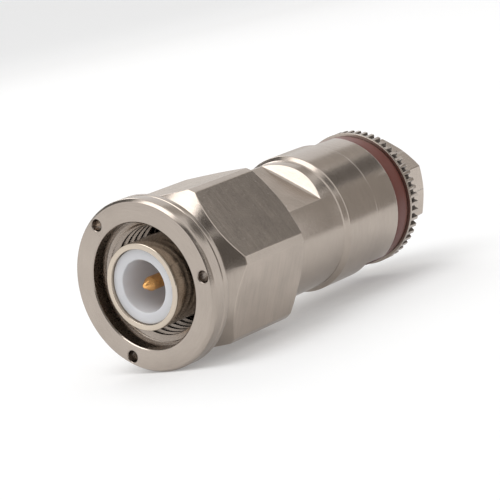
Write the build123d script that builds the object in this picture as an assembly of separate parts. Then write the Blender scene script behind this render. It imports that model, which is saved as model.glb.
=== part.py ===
from build123d import *
import math
import os

# Straight threaded coaxial plug, clamp type, lying on its side.
# Millimetres. X runs along the plug's axis from the coupling nut's front face (x = 0)
# to the cable end (+X). Z is up. Angles about the axis are counted from +Z towards -Y.

# Driving dimensions: interface
thread_major_r = 11.11 / 2        # 7/16-28 coupling thread, crest of the mating male thread
thread_pitch = 25.4 / 28
thread_minor_r = thread_major_r - 0.5413 * thread_pitch   # crest of the nut's own thread
sleeve_r = 4.05                   # outer contact, outside
sleeve_bore_r = 3.50              # outer contact, inside
sleeve_front_x = -0.25
pin_r = 0.66                      # centre contact
pin_tip_x = 0.15
insulator_front_x = 0.05
insulator_mouth_r = 2.45          # room for the socket half around the pin
insulator_mouth_depth = 5.60

# Driving dimensions: clearances
run = 0.05                        # radial and side clearance of every turning fit
seat = 0.02                       # radial clearance of pieces fixed inside others
lip = 0.10                        # end gap between the turning nut and the neck

# Driving dimensions: coupling nut
ring_r = 8.00
ring_w = 2.15
corner_rise = 0.12                # how far the hexagon's turned corners stand past the rim
mouth_r = thread_major_r + 0.305
mouth_depth = 1.60
rim_w = ring_r - mouth_r          # width of the flat front ring
ring_line_x = 1.50                # fine turned line round the rim
neck_groove_r = mouth_r + 0.30 * rim_w
neck_groove_x = 3.72              # where the front cone leaves the groove
hex_corner_r = ring_r + corner_rise
hex_flat_r = hex_corner_r - 0.91  # 14.4 mm across flats
hex_rear_x = 14.15
cone_angle = 50.5                 # front cone, from the axis
hex_rear_chamfer = 30.0           # rear chamfer, from the rear face
nut_thread_end_x = 7.40
wire_hole_r = 0.257 * rim_w
wire_hole_pitch_r = mouth_r + 0.58 * rim_w

# Driving dimensions: body
barrel_r = 6.74
barrel_wall = 1.30
gland_r = barrel_r - barrel_wall  # clamp bore
inner_bore_r = sleeve_bore_r + 0.80   # bore that holds the insulators
neck_r = barrel_r - 0.39
neck_flat_r = neck_r - 1.10       # half the size across the wrench flats on the neck
barrel_flat_r = barrel_r - 0.46   # half the size across the shallow flats at the rear
gasket_w = 0.85
head_x = 9.20                     # front face of the head, where the mating gasket sits
journal_r = sleeve_r + 1.50       # the nut turns on this
nut_bore_r = journal_r + run
snap_x = 10.80
snap_w = 0.90
snap_depth = 0.37                 # how deep the ring sits in the journal
snap_rise = 0.30                  # how far it stands into the nut
neck_x = hex_rear_x + lip
neck_flat_end_x = 20.35
neck_flat_run = 0.65              # how far the flat's end wall leans, per mm outwards
barrel_x = 22.30
barrel_chamfer_x = 22.75
barrel_end_x = 30.95
barrel_flat_x = 27.60
front_bore_end_x = head_x + 1.00
gland_x = 20.90                   # step where the clamp bore starts

# Driving dimensions: stack inside the body
collar_x = 12.00                  # face shared by the two insulators
collar_r = 1.20
collar_w = 1.00
contact_rear_r = 0.95
cup_r = 0.50
cup_depth = 3.00
contact_end_x = 17.40
rear_insulator_end_x = 18.60
clamp_flange_w = 0.80
clamp_bore_r = 1.70
seal_bore_r = 2.55
ridge_r = (seal_bore_r + gland_r) / 2 - 0.05
ridge_h = 0.60
ridge_half_w = 0.40
seal_end_x = 24.60
washer_w = 0.60
washer_bore_r = 3.30

# Driving dimensions: sealing ring and clamp nut
flange_x = 33.10
flange_r = barrel_r - 0.04
seal_ring_r = barrel_r - 0.26      # the sealing ring sits back in the gap
flange_end_x = 34.50
notch_count = 53
notch_x = 33.35
notch_depth = 0.42
notch_top_w = 0.50
notch_floor_w = 0.22
clamp_hex_r = gland_r - 1.18      # 8.5 mm across flats
overall_x = 39.15
clamp_chamfer = 34.0              # from the rear face
cable_r = 2.90

# Driving dimensions: angles about the axis
lean = 27.5                       # how far the nearest hexagon corner is from straight up
hex_corner_a = lean
neck_flat_a = lean + 4.8
barrel_flat_a = lean - 41.0
clamp_corner_a = lean + 42.9
notch_a = lean + 9.0


def turned(points):
    # solid of revolution about X from (x, radius) pairs
    loop = [(x, 0, r) for x, r in points]
    return revolve(make_face(Polyline(*loop, close=True)), Axis.X, 360)


def ring(x0, x1, r0, r1):
    return turned([(x0, r0), (x1, r0), (x1, r1), (x0, r1)])


def around(x, r, angle):
    # point at radius r and an angle from +Z towards -Y
    a = math.radians(angle)
    return (x, -r * math.sin(a), r * math.cos(a))


def hexagon(x0, x1, flat_r, corner):
    r = flat_r / math.cos(math.radians(30))
    pts = [around(x0, r, corner + 60 * k) for k in range(6)]
    return extrude(make_face(Polyline(*pts, close=True)), amount=x1 - x0, dir=(1, 0, 0))


def beyond_flat(x0, x1, flat_r, angle, lean_out=0.0):
    # block that covers everything further out than flat_r in one direction,
    # with an end wall that can lean towards the cable end
    loop = [
        (x0, -15, flat_r),
        (x1, -15, flat_r),
        (x1 + 10 * lean_out, -15, flat_r + 10),
        (x0, -15, flat_r + 10),
    ]
    block = extrude(make_face(Polyline(*loop, close=True)), amount=30, dir=(0, 1, 0))
    return Rot(X=angle) * block


# Coupling nut: rim, groove, chamfered hexagon, thread bore, snap ring groove
slope = math.tan(math.radians(cone_angle))
cone_top_x = neck_groove_x + (hex_corner_r - neck_groove_r) / slope
tail_x = hex_rear_x - (hex_corner_r - hex_flat_r) * math.tan(math.radians(hex_rear_chamfer))
nut_outline = turned([
    (ring_w - 0.5, 0),
    (ring_w - 0.5, neck_groove_r),
    (neck_groove_x, neck_groove_r),
    (cone_top_x, hex_corner_r),
    (tail_x, hex_corner_r),
    (hex_rear_x, hex_flat_r),
    (hex_rear_x, 0),
])
nut = hexagon(ring_w - 0.5, hex_rear_x, hex_flat_r, hex_corner_a) & nut_outline
nut += turned([
    (0, 0),
    (0, ring_r - 0.25),
    (0.35, ring_r),
    (ring_line_x - 0.08, ring_r),
    (ring_line_x, ring_r - 0.08),
    (ring_line_x + 0.08, ring_r),
    (ring_w - 0.12, ring_r),
    (ring_w, ring_r - 0.12),
    (ring_w, 0),
])
relief_r = thread_major_r + 0.10
snap_groove_r = journal_r + snap_rise + 2 * run
nut -= turned([
    (-1, 0),
    (-1, mouth_r + 0.15),
    (0, mouth_r + 0.15),
    (0.15, mouth_r),
    (mouth_depth, mouth_r),
    (mouth_depth + 0.45, thread_minor_r),
    (nut_thread_end_x, thread_minor_r),
    (nut_thread_end_x + 0.30, relief_r),
    (head_x - gasket_w - 0.2, relief_r),
    (head_x - gasket_w - 0.2, nut_bore_r),
    (hex_rear_x - 0.25, nut_bore_r),
    (hex_rear_x, nut_bore_r + 0.25),
    (hex_rear_x + 1, nut_bore_r + 0.25),
    (hex_rear_x + 1, 0),
])
nut -= ring(snap_x - run, snap_x + snap_w + run, nut_bore_r - 0.5, snap_groove_r)
for k in range(3):
    hole = Cylinder(wire_hole_r, ring_w + 2, rotation=(0, 90, 0))
    nut -= Pos(*around(ring_w / 2, wire_hole_pitch_r, hex_corner_a + 60 + 120 * k)) * hole
coupling_nut = nut

# Snap ring that keeps the nut on the body
snap_in_r = journal_r - snap_depth + seat
snap_ring = ring(snap_x, snap_x + snap_w, snap_in_r, journal_r + snap_rise)
snap_ring -= Pos(snap_x + snap_w / 2, 0, journal_r) * Box(snap_w + 1, 1.3, 2)

# Mating gasket in front of the head
mating_gasket = ring(head_x - gasket_w, head_x, sleeve_r + seat, journal_r - 0.10)

# Body: outer contact sleeve, head and journal, neck with wrench flats, barrel
body = turned([
    (sleeve_front_x, 0),
    (sleeve_front_x, sleeve_r - 0.12),
    (sleeve_front_x + 0.12, sleeve_r),
    (head_x, sleeve_r),
    (head_x, journal_r - 0.15),
    (head_x + 0.15, journal_r),
    (neck_x, journal_r),
    (neck_x, neck_r),
    (barrel_x, neck_r),
    (barrel_chamfer_x, barrel_r),
    (barrel_end_x - 0.30, barrel_r),
    (barrel_end_x, barrel_r - 0.22),
    (barrel_end_x, 0),
])
body -= turned([
    (sleeve_front_x - 1, 0),
    (sleeve_front_x - 1, sleeve_bore_r),
    (front_bore_end_x, sleeve_bore_r),
    (front_bore_end_x, inner_bore_r),
    (gland_x, inner_bore_r),
    (gland_x, gland_r),
    (barrel_end_x - 0.30, gland_r),
    (barrel_end_x, gland_r + 0.30),
    (barrel_end_x + 1, gland_r + 0.30),
    (barrel_end_x + 1, 0),
])
body -= ring(snap_x, snap_x + snap_w, journal_r - snap_depth, journal_r + 1)
for half in (0, 180):
    flat = beyond_flat(neck_x, neck_flat_end_x, neck_flat_r, neck_flat_a + half, neck_flat_run)
    body -= flat
    body -= beyond_flat(barrel_flat_x, barrel_end_x + 1, barrel_flat_r, barrel_flat_a + half)

# Front insulator around the pin
front_insulator = turned([
    (insulator_front_x, insulator_mouth_r + 0.12),
    (insulator_front_x, sleeve_bore_r - seat - 0.08),
    (insulator_front_x + 0.08, sleeve_bore_r - seat),
    (front_bore_end_x, sleeve_bore_r - seat),
    (front_bore_end_x, inner_bore_r - seat),
    (collar_x, inner_bore_r - seat),
    (collar_x, pin_r + seat),
    (insulator_mouth_depth, pin_r + seat),
    (insulator_mouth_depth, insulator_mouth_r),
    (insulator_front_x + 0.12, insulator_mouth_r),
])

# Rear insulator behind the contact's collar
rear_insulator = turned([
    (collar_x, collar_r + seat),
    (collar_x, inner_bore_r - seat),
    (rear_insulator_end_x, inner_bore_r - seat),
    (rear_insulator_end_x, contact_rear_r + seat),
    (collar_x + collar_w, contact_rear_r + seat),
    (collar_x + collar_w, collar_r + seat),
])

# Centre contact: pointed pin, collar, solder cup
centre_contact = turned([
    (pin_tip_x, 0),
    (pin_tip_x, 0.16),
    (pin_tip_x + 0.10, 0.26),
    (pin_tip_x + 1.05, pin_r),
    (collar_x, pin_r),
    (collar_x, collar_r),
    (collar_x + collar_w, collar_r),
    (collar_x + collar_w, contact_rear_r),
    (contact_end_x, contact_rear_r),
    (contact_end_x, cup_r),
    (contact_end_x - cup_depth, cup_r),
    (contact_end_x - cup_depth - 0.3, 0),
])

# Braid clamp: nose into the insulator bore, flange on the step, ridge towards the seal
flange_end = gland_x + clamp_flange_w
braid_clamp = turned([
    (rear_insulator_end_x, clamp_bore_r),
    (rear_insulator_end_x, inner_bore_r - 0.45),
    (gland_x - 0.6, inner_bore_r - seat),
    (gland_x, inner_bore_r - seat),
    (gland_x, gland_r - 0.10),
    (flange_end, gland_r - 0.10),
    (flange_end, ridge_r + ridge_half_w),
    (flange_end + ridge_h, ridge_r),
    (flange_end, ridge_r - ridge_half_w),
    (flange_end, clamp_bore_r),
])

# Cable seal with the groove that takes the ridge
cable_seal = turned([
    (flange_end, seal_bore_r),
    (flange_end, ridge_r - ridge_half_w - seat),
    (flange_end + ridge_h + seat, ridge_r),
    (flange_end, ridge_r + ridge_half_w + seat),
    (flange_end, gland_r - seat),
    (seal_end_x, gland_r - seat),
    (seal_end_x, seal_bore_r),
])

# Washer between seal and clamp nut
shank_x = seal_end_x + washer_w
seal_washer = ring(seal_end_x, shank_x, washer_bore_r, gland_r - 0.10)

# Sealing ring between barrel and flange
shank_r = gland_r - run
sealing_ring = turned([
    (barrel_end_x, shank_r + run),
    (barrel_end_x, seal_ring_r - 0.12),
    (barrel_end_x + 0.12, seal_ring_r),
    (flange_x - 0.12, seal_ring_r),
    (flange_x, seal_ring_r - 0.12),
    (flange_x, shank_r + run),
])

# Clamp nut: threaded shank, notched flange, hexagon, cable bore
hex_r = clamp_hex_r / math.cos(math.radians(30))
chamfer_run = (hex_r + 1 - clamp_hex_r) * math.tan(math.radians(clamp_chamfer))
hex_outline = turned([
    (flange_end_x - 0.5, 0),
    (flange_end_x - 0.5, hex_r + 1),
    (overall_x - chamfer_run, hex_r + 1),
    (overall_x, clamp_hex_r),
    (overall_x, 0),
])
clamp = hexagon(flange_end_x - 0.5, overall_x, clamp_hex_r, clamp_corner_a) & hex_outline
clamp += turned([
    (shank_x, 0),
    (shank_x, shank_r - 0.5),
    (shank_x + 0.5, shank_r),
    (flange_x, shank_r),
    (flange_x, flange_r - 0.08),
    (flange_x + 0.08, flange_r),
    (flange_end_x - 0.15, flange_r),
    (flange_end_x, flange_r - 0.15),
    (flange_end_x, 0),
])
floor_r = flange_r - notch_depth
for k in range(notch_count):
    a = notch_a + 360 * k / notch_count
    loop = [
        (notch_x, -notch_floor_w / 2, floor_r),
        (notch_x, notch_floor_w / 2, floor_r),
        (notch_x, notch_top_w / 2 + 0.08, flange_r + 0.2),
        (notch_x, -notch_top_w / 2 - 0.08, flange_r + 0.2),
    ]
    cut = extrude(make_face(Polyline(*loop, close=True)), amount=2, dir=(1, 0, 0))
    clamp -= Rot(X=a) * cut
clamp -= turned([
    (shank_x - 1, 0),
    (shank_x - 1, cable_r + 0.30),
    (shank_x, cable_r + 0.30),
    (shank_x + 0.30, cable_r),
    (overall_x - 0.40, cable_r),
    (overall_x, cable_r + 0.40),
    (overall_x + 1, cable_r + 0.40),
    (overall_x + 1, 0),
])
clamp_nut = clamp

os.makedirs("parts", exist_ok=True)
export_step(coupling_nut, "parts/coupling_nut.step")
export_step(snap_ring, "parts/snap_ring.step")
export_step(mating_gasket, "parts/mating_gasket.step")
export_step(body, "parts/body.step")
export_step(front_insulator, "parts/front_insulator.step")
export_step(rear_insulator, "parts/rear_insulator.step")
export_step(centre_contact, "parts/centre_contact.step")
export_step(braid_clamp, "parts/braid_clamp.step")
export_step(cable_seal, "parts/cable_seal.step")
export_step(seal_washer, "parts/seal_washer.step")
export_step(sealing_ring, "parts/sealing_ring.step")
export_step(clamp_nut, "parts/clamp_nut.step")
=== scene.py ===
# %% [markdown]
# This lesson dresses a small threaded coaxial plug that lies on a pale table.
# The real plug is lathe work in plated brass: round bars with a few milled flats.
# Nearly every visible piece can therefore be one idea, a profile of (distance along the axis,
# radius) points that is carried round the axis, where the radius may depend on the angle.
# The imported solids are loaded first, because they say where every piece belongs.

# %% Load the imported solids
import math
import bmesh
import bpy
import numpy as np
from mathutils import Matrix


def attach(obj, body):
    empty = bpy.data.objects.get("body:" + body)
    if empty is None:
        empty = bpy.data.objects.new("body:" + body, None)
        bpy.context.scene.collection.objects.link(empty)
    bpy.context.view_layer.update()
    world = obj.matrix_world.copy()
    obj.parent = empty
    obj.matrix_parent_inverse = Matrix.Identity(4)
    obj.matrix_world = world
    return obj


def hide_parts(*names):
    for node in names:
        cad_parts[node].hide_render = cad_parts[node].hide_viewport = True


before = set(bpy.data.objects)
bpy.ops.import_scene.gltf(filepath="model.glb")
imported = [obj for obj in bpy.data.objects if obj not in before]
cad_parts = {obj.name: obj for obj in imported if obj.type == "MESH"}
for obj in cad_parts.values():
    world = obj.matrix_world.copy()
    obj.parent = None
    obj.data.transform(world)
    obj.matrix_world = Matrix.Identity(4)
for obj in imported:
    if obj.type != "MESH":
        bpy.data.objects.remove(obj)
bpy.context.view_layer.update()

# %% [markdown]
# A thing this small is photographed with a long lens from about 20 cm away. The camera could be
# turned by eye, but the round edges show as ellipses that give both direction and distance, so
# its place was worked out from them. It is written as a point, a direction and a roll, because
# the plug is seen with the picture slightly rolled.

# %% Camera
camera_place = (-0.155555, -0.142982, 0.031094)
camera_azimuth, camera_elevation, camera_roll = -140.1203, 8.1064, -13.1315
lens_mm, sensor_mm = 172.8, 36

azimuth, elevation, roll = np.radians([camera_azimuth, camera_elevation, camera_roll])
view_back = np.array([math.cos(elevation) * math.cos(azimuth),
                      math.cos(elevation) * math.sin(azimuth), math.sin(elevation)])
level_right = np.array([-math.sin(azimuth), math.cos(azimuth), 0])
level_up = np.cross(view_back, level_right)
view_right = math.cos(roll) * level_right + math.sin(roll) * level_up
view_up = math.cos(roll) * level_up - math.sin(roll) * level_right

camera_data = bpy.data.cameras.new("camera")
camera_data.lens = lens_mm
camera_data.sensor_width = sensor_mm
camera_data.clip_start = 0.01
camera_data.clip_end = 10
camera = bpy.data.objects.new("camera", camera_data)
bpy.context.scene.collection.objects.link(camera)
camera_matrix = np.eye(4)
camera_matrix[:3, :3] = np.stack([view_right, view_up, view_back], axis=1)
camera_matrix[:3, 3] = camera_place
camera.matrix_world = Matrix(camera_matrix.tolist())
bpy.context.scene.camera = camera
print("camera looks down by", camera_elevation, "degrees")

# %% [markdown]
# Every turned piece needs three things: angles round the axis, a profile for each angle, and a
# mesh. The angles could be evenly spaced, but then a flat's edge would fall between two of them
# and turn ragged. Extra ones stand on each place where a flat meets a cylinder, and close beside
# it, so that the edge stays crisp under smooth shading.

# %% Angles round the axis
beside_edge = 0.35


def angles(edges, step=1.5):
    """All multiples of step degrees, and for each edge the angle itself and one on each side."""
    even = np.arange(0, 360, step)
    edges = np.asarray(edges, dtype=float).reshape(-1)
    near = (edges[:, None] + np.array([-beside_edge, 0, beside_edge])).reshape(-1) % 360
    gap = np.abs((even[:, None] - near + 180) % 360 - 180).min(axis=1, initial=360)
    far = even[gap > beside_edge * 0.8]
    return np.radians(np.unique(np.round(np.concatenate([far, near]), 4)))


def off_normal(phi, normals):
    """Angle from each phi to each normal, between minus half a turn and half a turn."""
    return (phi[:, None] - np.radians(normals) + np.pi) % (2 * np.pi) - np.pi


def flat_radius(phi, size, normals, limit):
    """Radius at angle phi of a round bar of radius limit with flats at distance size from the
    axis: size divided by the cosine of the angle to the flat's normal, never over limit."""
    along = np.cos(off_normal(phi, normals))
    reach = size / np.maximum(along, 1e-3)
    return np.minimum(np.where(along > 0, reach, limit).min(axis=1), limit)


def flat_here(phi, size, normals, limit):
    """1 where the strip from this angle to the next lies on a flat, 0 where it is round."""
    middle = phi + ((np.roll(phi, -1) - phi) % (2 * np.pi)) / 2
    return (flat_radius(middle, size, normals, limit) < limit - 1e-5).astype(int)


def flat_edges(size, normals, limit):
    """Angles in degrees at which a flat at distance size runs out at radius limit."""
    half = math.degrees(math.acos(size / limit))
    return np.concatenate([normals - half, normals + half])


print("a plain ring has", len(angles([])), "columns")

# %% [markdown]
# No edge of a machined piece is perfectly sharp. A Bevel modifier could round them, but where a
# chamfer runs out to nothing it makes knots. Here each profile corner is rounded before the
# profile is carried round, and the rounding shrinks by itself where the sides get short.

# %% Rounded profile
side_share = 0.45


def rounded(points, phi, steps=3):
    """Rows of a closed profile. Each corner C = (x, r, setback, finish) becomes a curve from A to
    B, which lie on its two sides, setback away but never past side_share of one. The curve is
    (1-s)^2 A + 2 s (1-s) C + s^2 B. Returns x, r and the finish number at each row and angle."""
    x = np.array([np.broadcast_to(p[0], phi.shape) for p in points], dtype=float)
    r = np.array([np.broadcast_to(p[1], phi.shape) for p in points], dtype=float)
    corner = np.stack([x, r], axis=-1)
    setback = np.array([p[2] for p in points])[:, None, None]
    back = np.roll(corner, 1, axis=0) - corner
    ahead = np.roll(corner, -1, axis=0) - corner
    back_length = np.maximum(np.linalg.norm(back, axis=-1, keepdims=True), 1e-9)
    ahead_length = np.maximum(np.linalg.norm(ahead, axis=-1, keepdims=True), 1e-9)
    reach = np.minimum(setback, side_share * np.minimum(back_length, ahead_length))
    a = (corner + back / back_length * reach)[:, None]
    b = (corner + ahead / ahead_length * reach)[:, None]
    s = np.linspace(0, 1, steps + 1)[None, :, None, None]
    curve = (1 - s) ** 2 * a + 2 * s * (1 - s) * corner[:, None] + s**2 * b
    rows = curve.reshape(-1, len(phi), 2)
    finish = np.repeat([np.broadcast_to(p[3], phi.shape) for p in points], steps + 1, axis=0)
    return rows[..., 0], rows[..., 1], finish


print("a corner of a profile becomes", len(rounded([(0, 1, 0, 0)], np.zeros(1))[0]), "rows")

# %% [markdown]
# The mesh is a grid whose rows follow the profile and whose columns follow the angles. Spinning
# an edge in Blender would give the same for a plain ring, but a grid can also change its radius
# with the angle. Both directions close on themselves, so the piece is watertight like the real
# metal, and points that fall on each other, as at a pin's tip, are merged.

# %% Mesh from a grid
def grid_mesh(name, place, finish, materials):
    """place is an array (rows, columns, 3) in mm. Quad (i, j) joins rows i and i+1 and columns
    j and j+1, both counted in a circle, and takes finish (i, j). The signed volume, the sum of
    a . (b x c) over the faces, says whether the quads have to be turned to face outwards."""
    rows, columns = place.shape[:2]
    index = np.arange(rows * columns).reshape(rows, columns)
    down, right = np.roll(index, -1, axis=0), np.roll(index, -1, axis=1)
    quads = np.stack([index, down, np.roll(down, -1, axis=1), right], axis=-1).reshape(-1, 4)
    points = place.reshape(-1, 3) * 0.001
    corner = points[quads]
    volume = np.einsum("ij,ij->i", corner[:, 0], np.cross(corner[:, 1], corner[:, 2])).sum()
    volume += np.einsum("ij,ij->i", corner[:, 0], np.cross(corner[:, 2], corner[:, 3])).sum()
    if volume < 0:
        quads = quads[:, ::-1]
    mesh = bpy.data.meshes.new(name)
    mesh.vertices.add(len(points))
    mesh.vertices.foreach_set("co", points.astype(np.float32).reshape(-1))
    mesh.loops.add(quads.size)
    mesh.loops.foreach_set("vertex_index", quads.astype(np.int32).reshape(-1))
    mesh.polygons.add(len(quads))
    mesh.polygons.foreach_set("loop_start", np.arange(0, quads.size, 4, dtype=np.int32))
    mesh.update(calc_edges=True)
    for material in materials:
        mesh.materials.append(material)
    mesh.polygons.foreach_set("material_index", finish.reshape(-1).astype(np.int32))
    piece = bpy.data.objects.new(name, mesh)
    bpy.context.scene.collection.objects.link(piece)
    return merged(piece)


same_point = 2e-7
milled_finish = 1


def merged(piece, sharp=50):
    """Merges points closer than same_point, in metres, drops what has no area, and shades smooth,
    apart from the faces of the milled finish, which are true flats."""
    work = bmesh.new()
    work.from_mesh(piece.data)
    bmesh.ops.remove_doubles(work, verts=work.verts, dist=same_point)
    bmesh.ops.dissolve_degenerate(work, edges=work.edges, dist=same_point)
    work.to_mesh(piece.data)
    work.free()
    kinds = np.zeros(len(piece.data.polygons), dtype=np.int32)
    piece.data.polygons.foreach_get("material_index", kinds)
    piece.data.polygons.foreach_set("use_smooth", kinds != milled_finish)
    piece.data.set_sharp_from_angle(angle=math.radians(sharp))
    return piece


def turned(name, points, phi, materials):
    """A profile carried round the axis: the point at angle phi is (x, -r sin phi, r cos phi)."""
    x, r, finish = rounded(points, phi)
    place = np.stack([x, -r * np.sin(phi), r * np.cos(phi)], axis=-1)
    piece = grid_mesh(name, place, finish, materials)
    print(name, len(piece.data.polygons), "faces")
    return piece


def steady_shading(piece):
    """Large faces decide the normals at their edges, so that flats look flat."""
    weighted = piece.modifiers.new("steady shading", "WEIGHTED_NORMAL")
    weighted.mode = "FACE_AREA"
    weighted.weight = 50
    weighted.keep_sharp = True


# %% [markdown]
# The finish of lathe work is its tool marks. They could be modelled, but at a few hundredths of
# a millimetre they are cheaper and finer as bump. The first group below turns the place of a
# point into its distance along the axis and its radius, and feeds both to a noise, so that the
# marks run round cylinders and in circles on end faces. The second is for milled flats, where
# the cutter leaves straight streaks square to the axis. Each is built once and used by every
# metal.

# %% Shader groups
def group_with(name, inputs, outputs):
    """A node group with numbers for inputs and outputs, and its two end nodes."""
    tree = bpy.data.node_groups.new(name, "ShaderNodeTree")
    for label, value in inputs:
        socket = tree.interface.new_socket(label, in_out="INPUT", socket_type="NodeSocketFloat")
        socket.default_value = value
    for label in outputs:
        tree.interface.new_socket(label, in_out="OUTPUT", socket_type="NodeSocketFloat")
    return tree, tree.nodes.new("NodeGroupInput"), tree.nodes.new("NodeGroupOutput")


def maths(tree, operation, first, second=None):
    """The output of a Math node that is fed by numbers or by other outputs."""
    node = tree.nodes.new("ShaderNodeMath")
    node.operation = operation
    for slot, value in zip(node.inputs, (first, second)):
        if isinstance(value, (int, float)):
            slot.default_value = value
        elif value is not None:
            tree.links.new(value, slot)
    return node.outputs[0]


def joined(tree, *parts):
    """Three numbers or outputs as one vector."""
    node = tree.nodes.new("ShaderNodeCombineXYZ")
    for slot, value in zip(node.inputs, parts):
        if isinstance(value, (int, float)):
            slot.default_value = value
        else:
            tree.links.new(value, slot)
    return node.outputs[0]


def noise_at(tree, vector, scale, detail, roughness):
    """The value of a noise at vector."""
    node = tree.nodes.new("ShaderNodeTexNoise")
    node.inputs["Scale"].default_value = scale
    node.inputs["Detail"].default_value = detail
    node.inputs["Roughness"].default_value = roughness
    tree.links.new(vector, node.inputs["Vector"])
    return node.outputs["Fac"]


def lathe_coordinates(tree):
    """Millimetres along the axis, radius, angle round the axis, and y and z in millimetres."""
    place = tree.nodes.new("ShaderNodeTexCoord").outputs["Object"]
    split = tree.nodes.new("ShaderNodeSeparateXYZ")
    tree.links.new(place, split.inputs[0])
    x, y, z = [maths(tree, "MULTIPLY", axis, 1000.0) for axis in split.outputs]
    square = maths(tree, "ADD", maths(tree, "MULTIPLY", y, y), maths(tree, "MULTIPLY", z, z))
    return x, maths(tree, "SQRT", square), maths(tree, "ARCTAN2", y, z), y, z


def marks_group(name, across, cloud_scale):
    """Lines is a noise that is fine along x and radius and slow across them, Grain is a fine even
    noise, and Cloud a slow one. across is how fast the lines change with the angle, for turning,
    or with y and z, for milling. The one that isn't used is 0."""
    tree, given, out = group_with(name, [("Lines per mm", 8.0), ("Grain per mm", 7.0)],
                                  ["Lines", "Grain", "Cloud"])
    x, radius, angle, y, z = lathe_coordinates(tree)
    density, fine = given.outputs["Lines per mm"], given.outputs["Grain per mm"]
    turn_speed, flat_speed = across
    if turn_speed:
        slow = maths(tree, "MULTIPLY", angle, turn_speed)
        lines = joined(tree, maths(tree, "MULTIPLY", x, density),
                       maths(tree, "MULTIPLY", radius, density), slow)
    else:
        lines = joined(tree, maths(tree, "MULTIPLY", x, density),
                       maths(tree, "MULTIPLY", y, flat_speed),
                       maths(tree, "MULTIPLY", z, flat_speed))
    tree.links.new(noise_at(tree, lines, 1.0, 4.0, 0.6), out.inputs["Lines"])
    even = joined(tree, *[maths(tree, "MULTIPLY", axis, fine) for axis in (x, y, z)])
    tree.links.new(noise_at(tree, even, 1.0, 2.0, 0.6), out.inputs["Grain"])
    tree.links.new(noise_at(tree, joined(tree, x, y, z), cloud_scale, 2.0, 0.5),
                   out.inputs["Cloud"])
    return tree


turning = marks_group("turning marks", (6.0, 0), 0.26)
milling = marks_group("milling marks", (0, 0.25), 0.33)
print("shader groups", turning.name, "and", milling.name)

# %% [markdown]
# The plating is one metal, a warm grey alloy of copper, tin and zinc, seen turned on round
# surfaces and milled on flats. A photograph of the finish could be wrapped on, but marks in
# millimetres keep their size on every piece. The plating of the flats has the streaks of the
# cutter, and a lighter colour that is painted light. The bores get a darker copy and the notches
# a near-black one, both painted shade, as they would otherwise come out too pale.

# %% Metals
rough_spread = 0.14


def metal(name, marks, colour, roughness, bump, lines_per_mm, spread=0.10, grain=0.15):
    """Principled metal. Colour = colour times (1 +- spread) along the lines and the cloud,
    roughness varies with the grain, and lines plus grain give the height of the bump in metres."""
    material = bpy.data.materials.new(name)
    material.use_nodes = True
    tree = material.node_tree
    shader = tree.nodes["Principled BSDF"]
    shader.inputs["Metallic"].default_value = 1.0
    group = tree.nodes.new("ShaderNodeGroup")
    group.node_tree = marks
    group.inputs["Lines per mm"].default_value = lines_per_mm
    shade = maths(tree, "ADD", maths(tree, "MULTIPLY", group.outputs["Cloud"], 0.5),
                  maths(tree, "MULTIPLY", group.outputs["Lines"], 0.5))
    mix = tree.nodes.new("ShaderNodeMix")
    mix.data_type = "RGBA"
    mix.inputs["A"].default_value = (*[c * (1 - 2 * spread) for c in colour], 1)
    mix.inputs["B"].default_value = (*[min(1.0, c * (1 + 2 * spread)) for c in colour], 1)
    tree.links.new(shade, mix.inputs["Factor"])
    tree.links.new(mix.outputs["Result"], shader.inputs["Base Color"])
    rough = maths(tree, "ADD", maths(tree, "MULTIPLY", group.outputs["Grain"], rough_spread),
                  roughness - rough_spread / 2)
    tree.links.new(rough, shader.inputs["Roughness"])
    height = maths(tree, "ADD", group.outputs["Lines"],
                   maths(tree, "MULTIPLY", group.outputs["Grain"], grain))
    bumps = tree.nodes.new("ShaderNodeBump")
    bumps.inputs["Distance"].default_value = bump
    tree.links.new(height, bumps.inputs["Height"])
    tree.links.new(bumps.outputs["Normal"], shader.inputs["Normal"])
    return material


tool_mark, polished_mark, drawn_mark = 0.000006, 0.000003, 0.000008
turned_plating = metal("turned plating", turning, (0.44, 0.383, 0.335), 0.21, tool_mark, 6.0)
# The flats' plating has the cutter's streaks, and its colour is lighter than the turned plating as
# painted light on the flats.
milled_plating_painted_light = metal("milled plating with painted light", milling, (0.50, 0.435, 0.38), 0.24, tool_mark, 5.0,
                       spread=0.16, grain=0.05)
# The plating in bores and threads is darker, as painted shade inside the pieces.
painted_shade_plating = metal("plating darkened as painted shade in the bore", turning, (0.37, 0.32, 0.28), 0.28, tool_mark, 7.0)
# Near-black, rough plating in the clamp's notches is painted shade, where the notch walls would
# shade each other.
notch_painted_shade = metal("near-black plating as painted shade in the notches", turning, (0.12, 0.10, 0.085), 0.45, tool_mark, 7.0)
contact_plating = metal("contact plating", turning, (0.60, 0.52, 0.43), 0.20, polished_mark, 8.0)
gold = metal("gold", turning, (0.94, 0.47, 0.17), 0.26, tool_mark, 8.0)
spring_bronze = metal("spring bronze", turning, (0.45, 0.33, 0.2), 0.35, drawn_mark, 8.0)
print("metals", [m.name for m in (turned_plating, milled_plating_painted_light, painted_shade_plating, gold)])

# %% [markdown]
# The soft materials are a waxy white plastic and two silicones. Plastic like this lets light in
# a little way, which a white paint would not, so it has some subsurface scattering. The grain
# of the turning marks breaks up the surface a little.

# %% Soft materials
soft_grain = 0.00001
soft_spread = 0.12
light_depth = 0.0006


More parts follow.
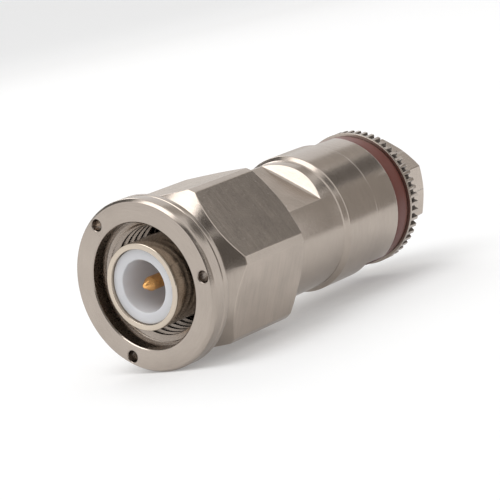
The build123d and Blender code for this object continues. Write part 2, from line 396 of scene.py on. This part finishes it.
def soft(name, colour, roughness, subsurface=0.0):
    """Principled plastic or rubber with a fine grain in bump and a little colour variation."""
    material = bpy.data.materials.new(name)
    material.use_nodes = True
    tree = material.node_tree
    shader = tree.nodes["Principled BSDF"]
    group = tree.nodes.new("ShaderNodeGroup")
    group.node_tree = turning
    mix = tree.nodes.new("ShaderNodeMix")
    mix.data_type = "RGBA"
    mix.inputs["A"].default_value = (*[c * (1 - soft_spread) for c in colour], 1)
    mix.inputs["B"].default_value = (*[min(1, c * (1 + soft_spread)) for c in colour], 1)
    tree.links.new(group.outputs["Cloud"], mix.inputs["Factor"])
    tree.links.new(mix.outputs["Result"], shader.inputs["Base Color"])
    shader.inputs["Roughness"].default_value = roughness
    shader.inputs["Subsurface Weight"].default_value = subsurface
    shader.inputs["Subsurface Radius"].default_value = (1.0, 1.0, 1.0)
    shader.inputs["Subsurface Scale"].default_value = light_depth
    bumps = tree.nodes.new("ShaderNodeBump")
    bumps.inputs["Distance"].default_value = soft_grain
    tree.links.new(group.outputs["Grain"], bumps.inputs["Height"])
    tree.links.new(bumps.outputs["Normal"], shader.inputs["Normal"])
    return material


white_plastic = soft("white insulator", (0.69, 0.69, 0.71), 0.35, subsurface=0.4)
red_rubber = soft("brown red silicone", (0.14, 0.038, 0.027), 0.38)
dark_rubber = soft("dark silicone", (0.03, 0.028, 0.026), 0.55)
print("soft materials", white_plastic.name, "and", red_rubber.name)

# %% [markdown]
# The coupling nut is turned from hexagon bar. Its front is a round rim with a flat face and a
# fine turned line, behind it a groove, then a cone that cuts the hexagon back, and at the rear a
# shallow chamfer. The bar's corners are turned round before milling, which leaves a narrow band
# on each. Where a cone meets a flat the edge is a curve, and it comes out exactly when the
# profile's point is placed at the x where the cone reaches that angle's radius. In this and all
# later profiles a point is its distance along the axis, its radius, the size of its rounding and
# the finish of the strip that starts there, counted in the list of materials.

# %% Coupling nut
lean = 27.5
rim_r, rim_w, rim_face_r, rim_slope_end = 8.00, 2.15, 7.75, 0.35
line_x, line_size = 1.50, 0.08
groove_r, groove_end = 6.502, 3.72
hex_flat, hex_corner, hex_rear = 7.21, 8.12, 14.15
cone_angle, rear_angle = 50.5, 30.0
mouth_r, mouth_slope, mouth_depth = 5.86, 0.12, 1.62
nut_wall_r, nut_wall_end, nut_bore_r = 5.65, 8.15, 5.60
nut_exit_r, nut_exit_x = 5.85, 13.80
nut_normals = lean + 30 + 60 * np.arange(6)


def nut_profile(phi):
    """Outside from the front face to the rear one, then inside back to the mouth."""
    r = flat_radius(phi, hex_flat, nut_normals, hex_corner)
    milled = flat_here(phi, hex_flat, nut_normals, hex_corner)
    front = groove_end + (r - groove_r) / math.tan(math.radians(cone_angle))
    rear = hex_rear - (r - hex_flat) * math.tan(math.radians(rear_angle))
    return [
        (0.0, mouth_r + mouth_slope, 0.05, 0),
        (0.0, rim_face_r, 0.06, 0),
        (rim_slope_end, rim_r, 0.08, 0),
        (line_x - line_size, rim_r, 0.03, 0),
        (line_x, rim_r - line_size, 0.02, 0),
        (line_x + line_size, rim_r, 0.03, 0),
        (rim_w, rim_r, 0.12, 0),
        (rim_w, groove_r, 0.20, 0),
        (groove_end, groove_r, 0.12, 0),
        (front, r, 0.07, milled),
        (rear, r, 0.05, 0),
        (hex_rear, hex_flat, 0.05, 0),
        (hex_rear, nut_exit_r, 0.03, 2),
        (nut_exit_x, nut_bore_r, 0.03, 2),
        (nut_wall_end, nut_bore_r, 0.03, 2),
        (nut_wall_end, nut_wall_r, 0.01, 2),
        (mouth_depth, nut_wall_r, 0.03, 2),
        (mouth_depth, mouth_r, 0.03, 2),
        (mouth_slope, mouth_r, 0.05, 0),
    ]


phi = angles(flat_edges(hex_flat, nut_normals, hex_corner))
# The nut's bore, finish 2, takes the darker plating that is painted shade.
nut = turned("nut", nut_profile(phi), phi, [turned_plating, milled_plating_painted_light, painted_shade_plating])

# %% [markdown]
# Three small holes for a locking wire are drilled into the rim's face, with a slight
# countersink. A hole that isn't on the axis can't come from the profile, so each one is a small
# turned drill of its own, which is taken out of the nut by a Boolean.

# %% Wire holes
hole_pitch, hole_r = 7.10, 0.55
sink_end, sink_rise = 0.08, 0.6
drill_start, drill_end = -0.5, 3.0
hole_at = np.radians(lean + 60 + 120 * np.arange(3))
hole_phi = np.radians(np.arange(0, 360, 12.0))
drill_profile = [
    (drill_start, 0.0, 0, 0),
    (drill_start, hole_r + sink_rise, 0, 0),
    (sink_end, hole_r, 0.02, 0),
    (drill_end, hole_r, 0, 0),
    (drill_end, 0.0, 0, 0),
]
for k, turn in enumerate(hole_at):
    x, r, finish = rounded(drill_profile, hole_phi, steps=2)
    place = np.stack([x, -r * np.sin(hole_phi), r * np.cos(hole_phi)], axis=-1)
    place = place + np.array([0, -hole_pitch * math.sin(turn), hole_pitch * math.cos(turn)])
    drill = grid_mesh(f"drill_{k}", place, finish, [painted_shade_plating])
    cut = nut.modifiers.new("wire hole", "BOOLEAN")
    cut.operation = "DIFFERENCE"
    cut.solver = "EXACT"
    cut.object = drill
    with bpy.context.temp_override(object=nut, active_object=nut, selected_objects=[nut]):
        bpy.ops.object.modifier_apply(modifier=cut.name)
    bpy.data.objects.remove(drill)
steady_shading(nut)
print("nut with wire holes", len(nut.data.polygons), "faces")

# %% [markdown]
# A screw thread is a tooth profile carried along a helix. One turn of the helix moves the
# profile on by one pitch, so its end meets the start of the next turn and the turns close
# without a gap. At the ends the points are held at the last x, and the lead-in cone wins there.
# A Screw modifier would also make the helix, but not this run-out.

# %% Threads
columns_per_turn = 180


def thread_teeth(x0, x1, crest, root, pitch, lead, run_out, inside):
    """v runs over one pitch, u over the turns. x = pitch (u + v), angle = 2 pi u. The radius is a
    trapezium wave of v between root and crest, with flats of an eighth and a quarter of a pitch.
    It is cut by the cones lead and run_out, as (x where it starts, its radius, radius per mm)."""
    v = np.array([0.0, 0.0625, 0.125, 0.22, 0.40, 0.46, 0.50, 0.56, 0.62, 0.70, 0.86])
    wave = np.interp(v, [0, 0.125, 0.43, 0.57, 0.875, 1], [1, 1, 0, 0, 1, 1])
    turns = np.arange(math.floor(x0 / pitch) - 1, math.ceil(x1 / pitch) + 1, 1 / columns_per_turn)
    x = pitch * (turns[:, None] + v[None, :])
    r = np.broadcast_to(root + (crest - root) * wave, x.shape)
    held = np.clip(x, x0, x1)
    sign = 1 if inside else -1
    cones = [cone[1] + cone[2] * (held - cone[0]) for cone in (lead, run_out)]
    r = sign * np.maximum(sign * r, np.maximum(sign * cones[0], sign * cones[1]))
    angle = 2 * np.pi * turns[:, None]
    return np.stack([held, -r * np.sin(angle), r * np.cos(angle)], axis=-1)


def thread_piece(name, place, back_r, material):
    """Joins the helix rows into quads: the last column of one turn meets the first column of the
    next. A plain cylinder of radius back_r closes the sleeve behind the teeth."""
    rows, columns = place.shape[:2]
    n = columns_per_turn
    index = np.arange(rows * columns).reshape(rows, columns)
    teeth = np.stack([index[:-1, :-1], index[1:, :-1], index[1:, 1:], index[:-1, 1:]], axis=-1)
    seam = np.stack([index[: -n - 1, -1], index[1:-n, -1],
                     index[n + 1 :, 0], index[n:-1, 0]], axis=-1)
    quads = np.concatenate([teeth.reshape(-1, 4), seam])
    points = place.reshape(-1, 3)
    x_of = points[quads][:, :, 0]
    quads = quads[(x_of.max(axis=1) - x_of.min(axis=1)) > 1e-7]
    mesh = bpy.data.meshes.new(name)
    mesh.from_pydata((points * 0.001).tolist(), [], quads.tolist())
    piece = bpy.data.objects.new(name, mesh)
    bpy.context.scene.collection.objects.link(piece)
    mesh.materials.append(material)
    merged(piece)
    work = bmesh.new()
    work.from_mesh(mesh)
    loose = [v for v in work.verts if not v.link_faces]
    bmesh.ops.delete(work, geom=loose, context="VERTS")
    rims = [e for e in work.edges if len(e.link_faces) == 1]
    made = bmesh.ops.extrude_edge_only(work, edges=rims)["geom"]
    for vert in [g for g in made if isinstance(g, bmesh.types.BMVert)]:
        size = math.hypot(vert.co.y, vert.co.z)
        vert.co.y *= back_r * 0.001 / size
        vert.co.z *= back_r * 0.001 / size
    rims = [e for e in work.edges if len(e.link_faces) == 1]
    bmesh.ops.bridge_loops(work, edges=rims)
    bmesh.ops.recalc_face_normals(work, faces=work.faces)
    work.to_mesh(mesh)
    work.free()
    merged(piece, sharp=35)
    print(name, len(mesh.polygons), "faces")
    return piece


nut_thread_x, nut_thread_end, nut_thread_back_r = 1.60, 7.30, 5.68
nut_crest_r, nut_root_r, nut_pitch = 5.064, 5.60, 25.4 / 28
nut_teeth = thread_teeth(nut_thread_x, nut_thread_end, nut_crest_r, nut_root_r, nut_pitch,
                         (nut_thread_x, 5.80, -1.65), (nut_thread_end, nut_root_r, 1.3), True)
# The nut's inner thread takes the darker plating that is painted shade.
nut_thread = thread_piece("nut_thread", nut_teeth, nut_thread_back_r, painted_shade_plating)

# %% [markdown]
# The body is one piece from the contact sleeve, which stands inside the nut, to the barrel. Two
# flats for a wrench are milled into its neck and stop at a leaning wall, and two shallow ones
# into the rear of the barrel. They could be cut with boxes, but as the profile knows the angle,
# the wall is simply where it climbs from the flat back to the cylinder: the wall's x grows with
# the height over the flat, so its top edge is a curve.

# %% Body
neck_normals = lean + 4.8 + 180 * np.arange(2)
rear_normals = lean - 41.0 + 180 * np.arange(2)
sleeve_x, sleeve_bore_r, sleeve_r = -0.25, 3.50, 4.05
head_x, journal_r, journal_end = 9.20, 5.55, 14.22
neck_start, neck_r, neck_flat = 14.25, 6.35, 5.25
wall_x, wall_run = 20.35, 0.65
barrel_x, barrel_slope_end, barrel_end, barrel_r = 22.30, 22.75, 30.95, 6.74
scored_x, scored_end, scored_depth = 27.38, 27.45, 0.02
rear_flat_x, rear_flat = 27.60, 6.28
barrel_mouth_r, barrel_mouth_end = 5.80, 30.65
clamp_bore_r, clamp_bore_x = 5.46, 20.90
inner_bore_r, inner_bore_x = 4.30, 10.20


def body_profile(phi):
    """Outside from the contact sleeve to the barrel's rear, then inside back to the sleeve."""
    neck = flat_radius(phi, neck_flat, neck_normals, neck_r)
    rear = flat_radius(phi, rear_flat, rear_normals, barrel_r)
    on_neck = flat_here(phi, neck_flat, neck_normals, neck_r)
    on_rear = flat_here(phi, rear_flat, rear_normals, barrel_r)
    height = neck_r * np.cos(off_normal(phi, neck_normals)).max(axis=1)
    wall_top = wall_x + wall_run * np.maximum(height - neck_flat, 0)
    return [
        (sleeve_x, sleeve_bore_r, 0.06, 2),
        (sleeve_x, sleeve_r, 0.14, 2),
        (head_x, sleeve_r, 0.03, 2),
        (head_x, journal_r, 0.12, 0),
        (journal_end, journal_r, 0.02, 0),
        (neck_start, neck, 0.05, on_neck),
        (wall_x, neck, 0.35, 0),
        (wall_top, neck_r, 0.04, 0),
        (barrel_x, neck_r, 0.12, 0),
        (barrel_slope_end, barrel_r, 0.08, 0),
        (scored_x, barrel_r, 0.03, 0),
        (scored_end, barrel_r - scored_depth, 0.02, 0),
        (rear_flat_x, barrel_r, 0.02, 0),
        (rear_flat_x, rear, 0.03, on_rear),
        (barrel_end, rear, 0.24, 0),
        (barrel_end, barrel_mouth_r, 0.05, 0),
        (barrel_mouth_end, clamp_bore_r, 0.05, 3),
        (clamp_bore_x, clamp_bore_r, 0.05, 3),
        (clamp_bore_x, inner_bore_r, 0.05, 3),
        (inner_bore_x, inner_bore_r, 0.05, 3),
        (inner_bore_x, sleeve_bore_r, 0.05, 2),
    ]


phi = angles(np.concatenate([flat_edges(neck_flat, neck_normals, neck_r),
                             flat_edges(rear_flat, rear_normals, barrel_r)]))
# The body's rear bores, finish 3, take the darker plating that is painted shade.
body = turned("body_shell", body_profile(phi), phi,
              [turned_plating, milled_plating_painted_light, contact_plating, painted_shade_plating])
steady_shading(body)

# %% [markdown]
# The insulator and the pin are plain turnings. The insulator is a waxy white fluoropolymer with
# a deep mouth for the socket's half, and the gold pin ends in a blunt point just inside it.
# Lathe work needs no more than its profile, so both take three-degree columns.

# %% Insulator and pin
insulator_x, insulator_r, insulator_rear_r, insulator_end = 0.05, 3.48, 4.28, 12.00
socket_room_r, socket_room_end, pin_hole_r = 2.45, 5.60, 0.68
pin_x, pin_tip_r, pin_point_end, pin_r = 0.15, 0.20, 0.95, 0.66
collar_r, collar_end = 1.20, 13.00
contact_rear_r, contact_end = 0.95, 17.40
cup_r, cup_x, cup_point_x = 0.50, 14.40, 14.10
plain = angles([], step=3.0)
insulator = turned("insulator", [
    (insulator_x, socket_room_r, 0.12, 0),
    (insulator_x, insulator_r, 0.08, 0),
    (inner_bore_x, insulator_r, 0.02, 0),
    (inner_bore_x, insulator_rear_r, 0.02, 0),
    (insulator_end, insulator_rear_r, 0.02, 0),
    (insulator_end, pin_hole_r, 0.02, 0),
    (socket_room_end, pin_hole_r, 0.02, 0),
    (socket_room_end, socket_room_r, 0.30, 0),
], plain, [white_plastic])
pin = turned("pin", [
    (pin_x, 0.0, 0.0, 0),
    (pin_x, pin_tip_r, 0.06, 0),
    (pin_point_end, pin_r, 0.12, 0),
    (insulator_end, pin_r, 0.02, 0),
    (insulator_end, collar_r, 0.02, 0),
    (collar_end, collar_r, 0.02, 0),
    (collar_end, contact_rear_r, 0.02, 0),
    (contact_end, contact_rear_r, 0.05, 0),
    (contact_end, cup_r, 0.05, 0),
    (cup_x, cup_r, 0.02, 0),
    (cup_point_x, 0.0, 0.0, 0),
], plain, [gold])

# %% [markdown]
# Between barrel and clamp nut sits a soft sealing ring. A torus would be too round: the ring is
# squeezed, so its outside is only slightly barrel-shaped, with its sides tight on the metal.

# %% Sealing ring
seal_x, seal_end, seal_bore_r = 30.96, 33.09, 5.50
seal_side_r, seal_r, seal_full_x, seal_full_end = 6.34, 6.48, 31.40, 32.65
sealing = turned("sealing", [
    (seal_x, seal_bore_r, 0.02, 0),
    (seal_x, seal_side_r, 0.10, 0),
    (seal_full_x, seal_r, 0.30, 0),
    (seal_full_end, seal_r, 0.30, 0),
    (seal_end, seal_side_r, 0.10, 0),
    (seal_end, seal_bore_r, 0.02, 0),
], angles([], step=2.0), [red_rubber])

# %% [markdown]
# The clamp nut closes the cable end. Its flange has a narrow smooth lip and 53 straight notches
# behind it for a grip. Cutting 53 grooves one by one is slow, but a notch is only a dip of the
# radius that repeats with the angle, so it needs its own columns: two for each corner of the
# dip's trapezium.

# %% Clamp nut
clamp_corner = lean + 42.9 + 60 * np.arange(6)
clamp_normals = clamp_corner + 30
clamp_flat, clamp_corner_r, clamp_rear, clamp_angle = 4.26, 4.90, 39.15, 34.0
shank_x, shank_r, shank_mouth_r, shank_mouth_end = 25.20, 4.82, 3.20, 25.50
flange_x, lip_end, flange_end, flange_r = 33.10, 33.35, 34.50, 6.70
face_outer_r, face_inner_r = 6.10, 5.20
cable_r, cable_mouth_r, cable_mouth_end = 2.90, 3.30, 38.75
notch_count, notch_depth, notch_floor, notch_top = 53, 0.42, 0.11, 0.25
notch_at = lean + 9 + 360 * np.arange(notch_count) / notch_count
# Slot 3 of the clamp's materials is the near-black plating that paints shade into the notches.
notch_shade_slot, notch_starts, beside_notch = 3, 0.2, 0.12


def notch_dip(phi):
    """0 on the lands, 1 on a notch's floor, straight between, from the distance along the rim."""
    distance = np.abs(off_normal(phi, notch_at)).min(axis=1) * flange_r
    return np.interp(distance, [notch_floor, notch_top], [1, 0])


def clamp_profile(phi):
    """Outside from the shank over the flange to the rear face, then back through the bore."""
    dip = flange_r - notch_depth * notch_dip(phi)
    r = flat_radius(phi, clamp_flat, clamp_normals, clamp_corner_r)
    milled = flat_here(phi, clamp_flat, clamp_normals, clamp_corner_r)
    middle = phi + ((np.roll(phi, -1) - phi) % (2 * np.pi)) / 2
    # Faces deep enough in a notch take that near-black plating, painted shade in the notch.
    cut = notch_shade_slot * (notch_dip(middle) > notch_starts).astype(int)
    rear = clamp_rear - (r - clamp_flat) * math.tan(math.radians(clamp_angle))
    return [
        (shank_x, shank_mouth_r, 0.02, 2),
        (shank_x, shank_r, 0.02, 0),
        (flange_x, shank_r, 0.02, 0),
        (flange_x, flange_r, 0.05, 0),
        (lip_end, flange_r, 0.03, 0),
        (lip_end, dip, 0.03, cut),
        (flange_end, dip, 0.06, 0),
        (flange_end, face_outer_r, 0.0, 0),
        (flange_end, face_inner_r, 0.0, 0),
        (flange_end, r, 0.04, milled),
        (rear, r, 0.06, 0),
        (clamp_rear, clamp_flat, 0.06, 0),
        (clamp_rear, cable_mouth_r, 0.05, 0),
        (cable_mouth_end, cable_r, 0.05, 2),
        (shank_mouth_end, cable_r, 0.05, 2),
    ]


across = np.degrees(np.array([-notch_top, -notch_floor, notch_floor, notch_top]) / flange_r)
pairs = np.concatenate([across - beside_notch, across + beside_notch])
notch_columns = (notch_at[:, None] + pairs).reshape(-1)
clamp_edges = flat_edges(clamp_flat, clamp_normals, clamp_corner_r)
phi = np.radians(np.unique(np.round(np.concatenate([notch_columns, clamp_edges]) % 360, 4)))
# The clamp's bore, finish 2, takes the darker plating that is painted shade.
clamp = turned("clamp", clamp_profile(phi), phi,
               [turned_plating, milled_plating_painted_light, painted_shade_plating, notch_painted_shade])
steady_shading(clamp)

clamp_thread_end, clamp_thread_back_r = 33.00, 4.78
clamp_crest_r, clamp_root_r, clamp_pitch = 5.39, 4.90, 1.0
clamp_teeth = thread_teeth(shank_x, clamp_thread_end, clamp_crest_r, clamp_root_r, clamp_pitch,
                           (shank_x, 4.85, 1.0), (clamp_thread_end, 4.95, -1.5), False)
clamp_thread = thread_piece("clamp_thread", clamp_teeth, clamp_thread_back_r, turned_plating)

# %% [markdown]
# Each new piece stands for one of the solids, whose solid is hidden, and rides on the same body.
# The threads are pieces of their own, so that they can be made as helices, but they belong to the
# same solids as the nuts that carry them.

# %% Which solid each piece stands for
for piece, node, part, finish in (
    (nut, "coupling_nut", "nut", "plated_nut"),
    (nut_thread, "coupling_nut", "nut", "plated_nut"),
    (body, "body", "plug", "plated_body"),
    (insulator, "front_insulator", "plug", "white_insulator"),
    (pin, "centre_contact", "plug", "gold_contact"),
    (sealing, "sealing_ring", "clamp_carriage", "red_silicone"),
    (clamp, "clamp_nut", "clamp", "plated_clamp"),
    (clamp_thread, "clamp_nut", "clamp", "plated_clamp"),
):
    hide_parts(node)
    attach(piece, part)
print("pieces that stand for solids: nut, body, insulator, pin, sealing ring and clamp nut")

# %% [markdown]
# The solids that stay are the small inner ones: a spring ring, two seals, a washer, the braid
# clamp and the rear insulator. Their shapes are right already, so they only get their material.

# %% Materials of the solids that stay
# The braid clamp and the washer take the darker plating that is painted shade.
for node, material in (
    ("snap_ring", spring_bronze), ("mating_gasket", dark_rubber), ("rear_insulator", white_plastic),
    ("braid_clamp", painted_shade_plating), ("cable_seal", dark_rubber), ("seal_washer", painted_shade_plating),
):
    solid = bpy.data.objects[node]
    solid.data.materials.clear()
    solid.data.materials.append(material)
    print(node, "is", material.name)

# %% [markdown]
# The table is pale and plain, and it keeps the plug's shadow. It lies 8 mm under the axis, where
# the rim touches it. A backdrop isn't needed, because the world behind it is white as well. The
# table gives off a little light that only the camera and shiny surfaces see, so that it comes
# out white without more light on the plug.

# %% Floor
floor_z, floor_reach, floor_glow = -0.008, 1.5, 0.2


def sheet_of(name, corners):
    """A stage sheet through four corners in metres, which isn't part of the plug."""
    mesh = bpy.data.meshes.new(name)
    mesh.from_pydata(corners, [], [(0, 1, 2, 3)])
    sheet = bpy.data.objects.new(name, mesh)
    bpy.context.scene.collection.objects.link(sheet)
    return sheet


def shown_ray(tree):
    """1 for a ray that comes from the camera, or from metal or glass that shows the scene."""
    path = tree.nodes.new("ShaderNodeLightPath")
    through = maths(tree, "MAXIMUM", path.outputs["Is Glossy Ray"],
                    path.outputs["Is Transmission Ray"])
    return maths(tree, "MAXIMUM", path.outputs["Is Camera Ray"], through)


square = [(-1, -1), (1, -1), (1, 1), (-1, 1)]
floor = sheet_of("floor", [(floor_reach * x, floor_reach * y, floor_z) for x, y in square])
floor_material = bpy.data.materials.new("pale table")
floor_material.use_nodes = True
floor_shader = floor_material.node_tree.nodes["Principled BSDF"]
floor_shader.inputs["Base Color"].default_value = (0.8, 0.8, 0.8, 1)
floor_shader.inputs["Roughness"].default_value = 0.8
floor_shader.inputs["Emission Color"].default_value = (1, 1, 1, 1)
floor_tree = floor_material.node_tree
floor_tree.links.new(maths(floor_tree, "MULTIPLY", shown_ray(floor_tree), floor_glow),
                     floor_shader.inputs["Emission Strength"])
floor.data.materials.append(floor_material)
print("floor at", floor_z * 1000, "mm")

# %% [markdown]
# Bare metal shows nothing but its surroundings, so they are what has to be lit. A white tent
# alone would make the plug flat and pale. Photographers stand grey and black cards round it, and
# each leaves a darker band in the metal. The cards here show only in reflections: they throw no
# shadow, and the camera doesn't see them.

# %% Cards
def grey_card(name, corners, level):
    """A sheet in metres that only glossy rays see. It gives off level, as a part of white."""
    card = sheet_of(name, corners)
    card.visible_camera = False
    card.visible_diffuse = False
    card.visible_transmission = False
    card.visible_shadow = False
    material = bpy.data.materials.new(name)
    material.use_nodes = True
    shader = material.node_tree.nodes["Principled BSDF"]
    shader.inputs["Base Color"].default_value = (0, 0, 0, 1)
    shader.inputs["Specular IOR Level"].default_value = 0.0
    shader.inputs["Emission Color"].default_value = (1.0, 0.95, 0.9, 1)
    shader.inputs["Emission Strength"].default_value = level
    card.data.materials.append(material)


middle = (0.017, 0.0, 0.0)


def toward(azimuth, elevation, distance):
    """The point at a distance in metres from the plug's middle, in a direction in degrees."""
    a, e = math.radians(azimuth), math.radians(elevation)
    flat = distance * math.cos(e)
    return (middle[0] + flat * math.cos(a), flat * math.sin(a), distance * math.sin(e))


def card_in_sky(name, azimuths, elevations, distance, level):
    """A flat card whose corners lie in the given directions."""
    (left, right), (low, high) = azimuths, elevations
    corners = [toward(left, low, distance), toward(right, low, distance),
               toward(right, high, distance), toward(left, high, distance)]
    grey_card(name, corners, level)


def standing_card(name, foot, azimuth, width, top, level):
    """A card on the floor, centred on foot (x, y) and square to the azimuth it is seen along."""
    a = math.radians(azimuth)
    side = np.array([-math.sin(a), math.cos(a)]) * width / 2
    start, end = np.array(foot) - side, np.array(foot) + side
    grey_card(name, [(*start, floor_z), (*end, floor_z), (*end, top), (*start, top)], level)


standing_card("card_beside", (0.120, -0.026), -90, 0.160, 0.020, 0.45)
standing_card("card_before", (-0.029, -0.027), -140, 0.038, 0.025, 0.16)
standing_card("card_at_front", (-0.002, -0.050), -111, 0.030, 0.026, 0.45)
card_in_sky("card_high_right", (-36, -9), (22, 38), 0.6, 0.16)
card_in_sky("card_half_dark", (-9, 14), (24, 52), 0.61, 0.55)
card_in_sky("card_low_behind", (32, 50), (-2, 14), 0.62, 0.72)
card_in_sky("card_by_camera", (-170, -113), (30, 52), 0.6, 0.10)
card_in_sky("card_at_left", (66, 106), (12, 57), 0.6, 0.10)
print("eight cards, three standing and five in the sky")

# %% [markdown]
# The light is a large soft box overhead and a smaller one behind the plug. Small lamps would
# give hard sparks on the metal instead. The world is a white tent, a little stronger for the
# camera and for glossy rays, so that the background is white without more light on the plug.

# %% Lamps and world
def soft_box(name, place, aim, size, level):
    """A square lamp that shows as bright as level in a mirror: its power is pi times that, times
    its area."""
    lamp = bpy.data.lights.new(name, "AREA")
    lamp.shape = "SQUARE"
    lamp.size = size
    lamp.energy = level * math.pi * size * size
    box = bpy.data.objects.new(name, lamp)
    bpy.context.scene.collection.objects.link(box)
    away = np.array(place) - np.array(aim)
    away = away / np.linalg.norm(away)
    side = np.cross([0.0, 0.0, 1.0], away)
    side = side / np.linalg.norm(side)
    turn = np.eye(4)
    turn[:3, :3] = np.stack([side, np.cross(away, side), away], axis=1)
    turn[:3, 3] = place
    box.matrix_world = Matrix(turn.tolist())


tent_level, extra_shown = 0.7, 0.3
soft_box("box_overhead", toward(165, 66, 0.6), middle, 0.42, 2.2)
soft_box("box_at_back", toward(60, 38, 0.6), middle, 0.24, 2.5)
world = bpy.data.worlds.new("studio")
bpy.context.scene.world = world
world.use_nodes = True
tree = world.node_tree
background = tree.nodes["Background"]
background.inputs["Color"].default_value = (1, 1, 1, 1)
extra = maths(tree, "MULTIPLY", shown_ray(tree), extra_shown)
tree.links.new(maths(tree, "ADD", extra, tent_level), background.inputs["Strength"])
print("world", world.name, "and two soft boxes")

# %% [markdown]
# Last, colours are shown as they are written, with the Standard view transform.

# %% View transform
bpy.context.scene.view_settings.view_transform = "Standard"
